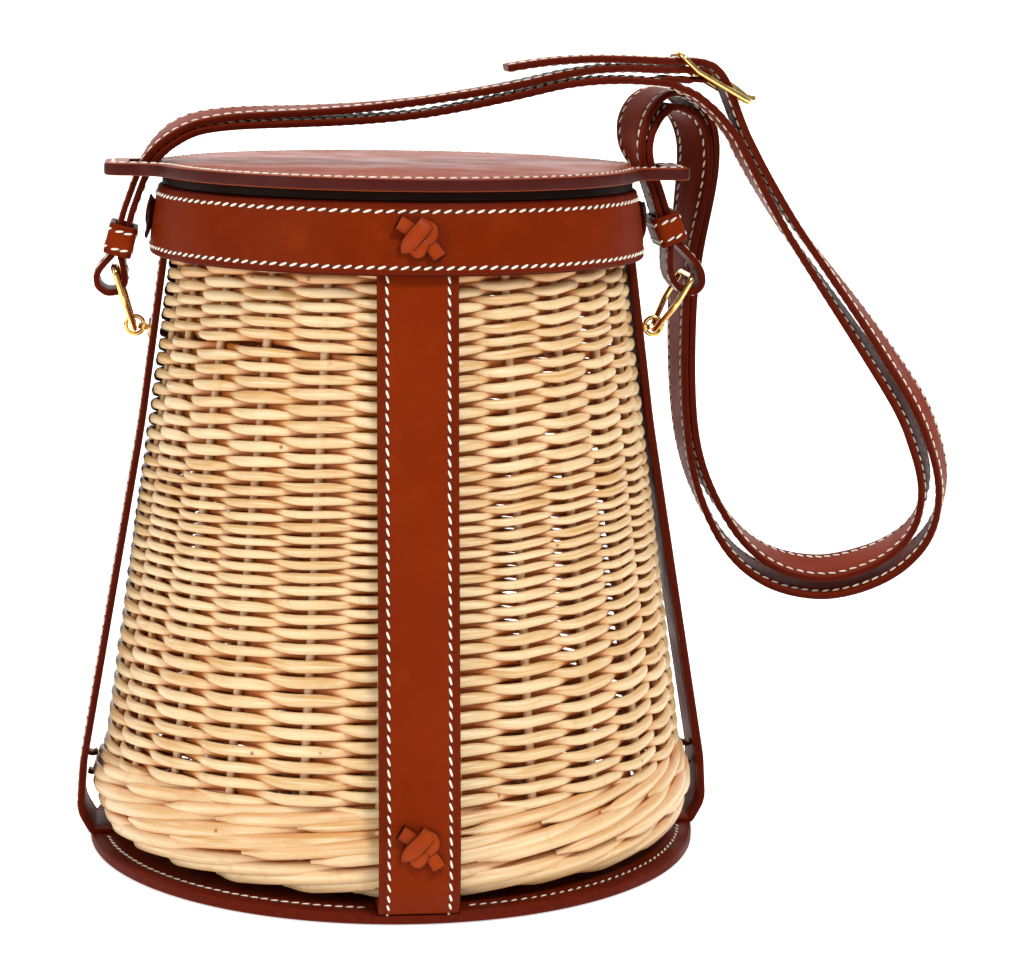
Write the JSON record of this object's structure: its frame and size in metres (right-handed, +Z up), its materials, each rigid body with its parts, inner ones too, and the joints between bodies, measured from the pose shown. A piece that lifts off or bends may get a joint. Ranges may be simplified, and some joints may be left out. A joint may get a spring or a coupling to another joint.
{
  "type": "basket box bag",
  "caption": "Round tapered willow basket bag in a stitched leather frame, with a lift-up lid, knotted laces and a doubled, buckled shoulder strap on brass links.",
  "frame": {"origin": "middle of the base plate's underside", "axes": "+Z up through the lid, -Y towards the front strap, +X towards the right ring"},
  "size_m": [0.3202, 0.2338, 0.285],
  "materials": {
    "leather": "satin",
    "dark_leather": "matte",
    "lace": "satin",
    "wicker": "matte",
    "brass": "polished"
  },
  "bodies": {
    "basket_body": {"back_collar_knot": "lace", "back_foot_knot": "lace", "back_strap": "leather", "base_disc": "leather", "basket": "wicker", "collar": "leather", "front_collar_knot": "lace", "front_foot_knot": "lace", "front_strap": "leather", "left_collar_knot": "lace", "left_foot_ties": "lace", "left_ring_stud": "brass", "left_strap": "leather", "right_collar_knot": "lace", "right_foot_ties": "lace", "right_ring_stud": "brass", "right_strap": "leather"},
    "lid_body": {"lid": "leather", "lid_ring": "dark_leather", "shoulder_strap": "leather"},
    "left_ring_body": {"left_ring": "brass"},
    "right_ring_body": {"right_ring": "brass"},
    "left_link_body": {"left_link": "brass"},
    "right_link_body": {"right_link": "brass"},
    "left_keeper_body": {"left_keeper": "leather"},
    "right_keeper_body": {"right_keeper": "leather"},
    "buckle_body": {"buckle_frame": "brass"},
    "prong_body": {"buckle_prong": "brass"}
  },
  "joints": [
    {"name": "lid_lift", "type": "slide", "parent": "basket_body", "child": "lid_body", "axis": [0, 0, 1], "range_m": [0, 0.06], "deforming": ["shoulder_strap"]},
    {"name": "left_ring_swing", "type": "hinge", "parent": "basket_body", "child": "left_ring_body", "pos_m": [-0.08972, 0, 0.18584], "axis": [0.1364, 0, 0.9907], "range_deg": [-15, 15]},
    {"name": "left_link_swing", "type": "hinge", "parent": "left_ring_body", "child": "left_link_body", "pos_m": [-0.09302, 0, 0.18529], "axis": [0, 1, 0], "range_deg": [-8, 8]},
    {"name": "right_ring_swing", "type": "hinge", "parent": "basket_body", "child": "right_ring_body", "pos_m": [0.08972, 0, 0.18584], "axis": [-0.1364, 0, 0.9907], "range_deg": [-15, 15]},
    {"name": "right_link_swing", "type": "hinge", "parent": "right_ring_body", "child": "right_link_body", "pos_m": [0.09302, 0, 0.18529], "axis": [0, 1, 0], "range_deg": [-8, 8]},
    {"name": "left_keeper_slide", "type": "slide", "parent": "basket_body", "child": "left_keeper_body", "axis": [0.2538, 0, 0.9673], "range_m": [0, 0.006]},
    {"name": "right_keeper_slide", "type": "slide", "parent": "basket_body", "child": "right_keeper_body", "axis": [-0.3584, 0, 0.9336], "range_m": [0, 0.002]},
    {"name": "buckle_swing", "type": "hinge", "parent": "lid_body", "child": "buckle_body", "pos_m": [0.10639, -0.007, 0.2762], "axis": [0, 1, 0], "range_deg": [-8, 8]},
    {"name": "prong_swing", "type": "hinge", "parent": "buckle_body", "child": "prong_body", "pos_m": [0.10639, -0.007, 0.2762], "axis": [0, -1, 0], "range_deg": [0, 35]}
  ]
}
